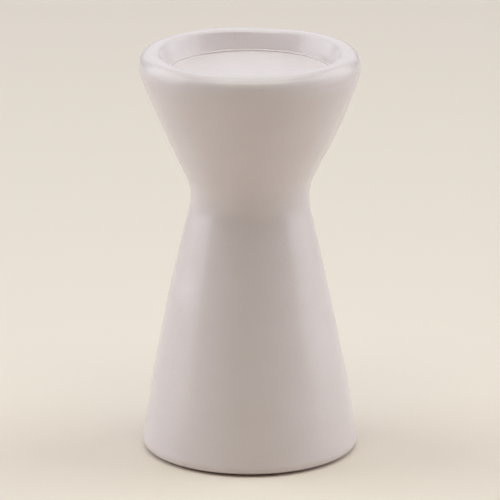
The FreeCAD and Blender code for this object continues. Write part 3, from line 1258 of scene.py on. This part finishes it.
@dataclass(frozen=True)
class SoftBox:
    """A rectangular soft light that faces the candlestick.

    Args:
        name: The light's name.
        azimuth: Where it stands, in degrees: 0 is the camera's side and 90 is +X.
        elevation: Its height above the horizon, in degrees.
        distance: From the candlestick's middle.
        width: Its level side.
        height: Its other side.
        power: In watts.
        colour: Its tint.
    """

    name: str
    azimuth: float
    elevation: float
    distance: float
    width: float
    height: float
    power: float
    colour: Colour

    def build(self, aim: Vector) -> None:
        """Hang the light and turn it to the aim.

        Args:
            aim: The point that it faces.
        """
        data = bpy.data.lights.new(self.name, "AREA")
        data.shape = "RECTANGLE"
        data.size, data.size_y = self.width, self.height
        data.energy = self.power
        data.color = self.colour
        made = stand_facing(data, aim, self.distance, self.azimuth, self.elevation)
        made.visible_camera = False


def stand_facing(
    data: bpy.types.ID, aim: Vector, distance: float, azimuth: float, elevation: float
) -> bpy.types.Object:
    """Stand a light or the camera round the candlestick, turned to face it.

    Args:
        data: The light's or the camera's data, whose name the object takes.
        aim: The point that it faces.
        distance: How far from there it stands.
        azimuth: Where it stands, in degrees: 0 is the camera's side and 90 is +X.
        elevation: Its height above the horizon, in degrees.

    Returns:
        The object.
    """
    turn, lift = math.radians(azimuth), math.radians(elevation)
    level = math.cos(lift)
    outward = Vector((math.sin(turn) * level, -math.cos(turn) * level, math.sin(lift)))
    made = bpy.data.objects.new(data.name, data)
    bpy.context.scene.collection.objects.link(made)
    made.location = aim + distance * outward
    made.rotation_euler = (-outward).to_track_quat("-Z", "Y").to_euler()
    return made


@dataclass
class Studio:
    """A pale paper floor, soft lights in a dark room, and the camera.

    Args:
        lens: The camera's focal length, in millimetres.
        sensor: Its sensor's width, in millimetres.
        distance: From the aim to the camera.
        elevation: The camera's height above the horizon, in degrees.
        sight: The furthest that the camera sees.
        aim: The point that the camera and the lights face.
        floor_reach: Half of the floor's side.
        boxes: The lights.
    """

    lens: float = 395.9
    sensor: float = 36.0
    distance: float = 2.450
    elevation: float = 16.43
    sight: float = 50.0
    aim: tuple[float, float, float] = (0.0001, 0.0, 0.0909)
    floor_reach: float = 6.0
    boxes: tuple[SoftBox, ...] = (
        SoftBox("left_box", -103.0, 12.0, 2.5, 2.64, 3.6, 62.5, (0.935, 0.96, 1.0)),
        SoftBox("right_box", 103.0, 12.0, 2.5, 2.64, 3.6, 59.6, (0.95, 0.97, 1.0)),
        SoftBox("wide_top_box", 0.0, 89.0, 2.4, 3.5, 3.5, 10.5, (1.0, 1.0, 1.0)),
        SoftBox("near_top_box", 0.0, 80.0, 1.5, 1.6, 1.2, 13.9, (0.94, 1.0, 0.91)),
        SoftBox("front_fill", 0.0, 50.0, 2.4, 2.4, 1.8, 3.4, (1.0, 0.42, 0.15)),
        SoftBox("back_box", 180.0, 25.0, 2.8, 3.2, 2.0, 15.6, (0.96, 0.91, 1.0)),
    )

    def build(self, paper: StudioPaper) -> None:
        """Set up the whole studio.

        Args:
            paper: The floor's finish.
        """
        aim = Vector(self.aim)
        self._camera(aim)
        self._floor(paper)
        self._dark_room()
        for box in self.boxes:
            box.build(aim)
        bpy.context.scene.view_settings.view_transform = "Standard"
        log.info("studio: %d lights", len(self.boxes))

    def _camera(self, aim: Vector) -> None:
        """Stand the camera back from the aim, a little above it.

        Args:
            aim: The point that it faces.
        """
        data = bpy.data.cameras.new("camera")
        data.lens, data.sensor_width = self.lens, self.sensor
        data.clip_end = self.sight
        bpy.context.scene.camera = stand_facing(data, aim, self.distance, 0.0, self.elevation)

    def _floor(self, paper: StudioPaper) -> None:
        """Lay a flat sheet of paper under the candlestick.

        Args:
            paper: Its finish.
        """
        mesh = bpy.data.meshes.new("paper_floor")
        reach = self.floor_reach
        signs = ((-1.0, -1.0), (1.0, -1.0), (1.0, 1.0), (-1.0, 1.0))
        mesh.from_pydata([(x * reach, y * reach, 0.0) for x, y in signs], [], [(0, 1, 2, 3)])
        linked("paper_floor", mesh, (paper,))

    def _dark_room(self) -> None:
        """Let no light in besides the lamps'."""
        world = bpy.data.worlds.new("room")
        world.use_nodes = True
        background = next(node for node in world.node_tree.nodes if node.type == "BACKGROUND")
        background.inputs["Strength"].default_value = 0.0
        bpy.context.scene.world = world


# ---------------------------------------------------------------- assembly


def corners(bounds: tuple[Vector, Vector]) -> list[list[float]]:
    """A box's two corners as plain lists."""
    return [list(bounds[0]), list(bounds[1])]


def main() -> None:
    """Build the pieces in order, and light them."""
    logging.basicConfig(level=logging.INFO, format="%(name)s %(message)s")
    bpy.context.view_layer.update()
    _, base_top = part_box("lower_body")
    waist = Waist(height=base_top.z)
    dowel = DowelFit()
    hand = HandWork(
        depth=0.08 * MM, shortest=14.0 * MM, longest=70.0 * MM, most_round=5, waves=14, seed=7
    )
    leans = (
        Lean(height=152.0 * MM, spread=11.0 * MM, shift=0.55 * MM),
        Lean(height=69.0 * MM, spread=11.0 * MM, shift=-0.37 * MM),
    )
    swells = (
        Swell(angle=155.0, spread=25.0, rise=0.27 * MM),
        Swell(angle=116.0, spread=12.0, rise=0.15 * MM),
        Swell(angle=80.0, spread=10.0, rise=-0.55 * MM),
        Swell(angle=28.0, spread=20.0, rise=0.28 * MM),
        Swell(angle=315.0, spread=14.0, rise=0.20 * MM),
        Swell(angle=233.0, spread=14.0, rise=-0.25 * MM),
    )
    paint = SatinPaint("satin_paint")
    pan_paint = SatinPaint("pan_paint")
    beech = BareBeech()
    bands = (
        SandedBand(reach=4.3 * MM, half_width=4.5 * MM, depth=0.40 * MM, angle=270.0, least=0.1),
        SandedBand(reach=10.0 * MM, half_width=8.0 * MM, depth=0.30 * MM, angle=270.0, least=0.1),
        SandedBand(reach=3.8 * MM, half_width=1.2 * MM, depth=0.08 * MM, angle=270.0, least=0.25),
    )
    BaseCone(waist=waist, dowel=dowel, hand=hand, leans=leans).build(paint, beech)
    head = FlaredHead(
        waist=waist, dowel=dowel, hand=hand, leans=leans, swells=swells, bands=bands
    )
    head.build(paint, beech)
    CandlePan().build(pan_paint)
    FeltPad().build(PressedFelt())
    FlutedDowel(fit=dowel).build(beech)
    Studio().build(StudioPaper())


if __name__ == "__main__":
    main()
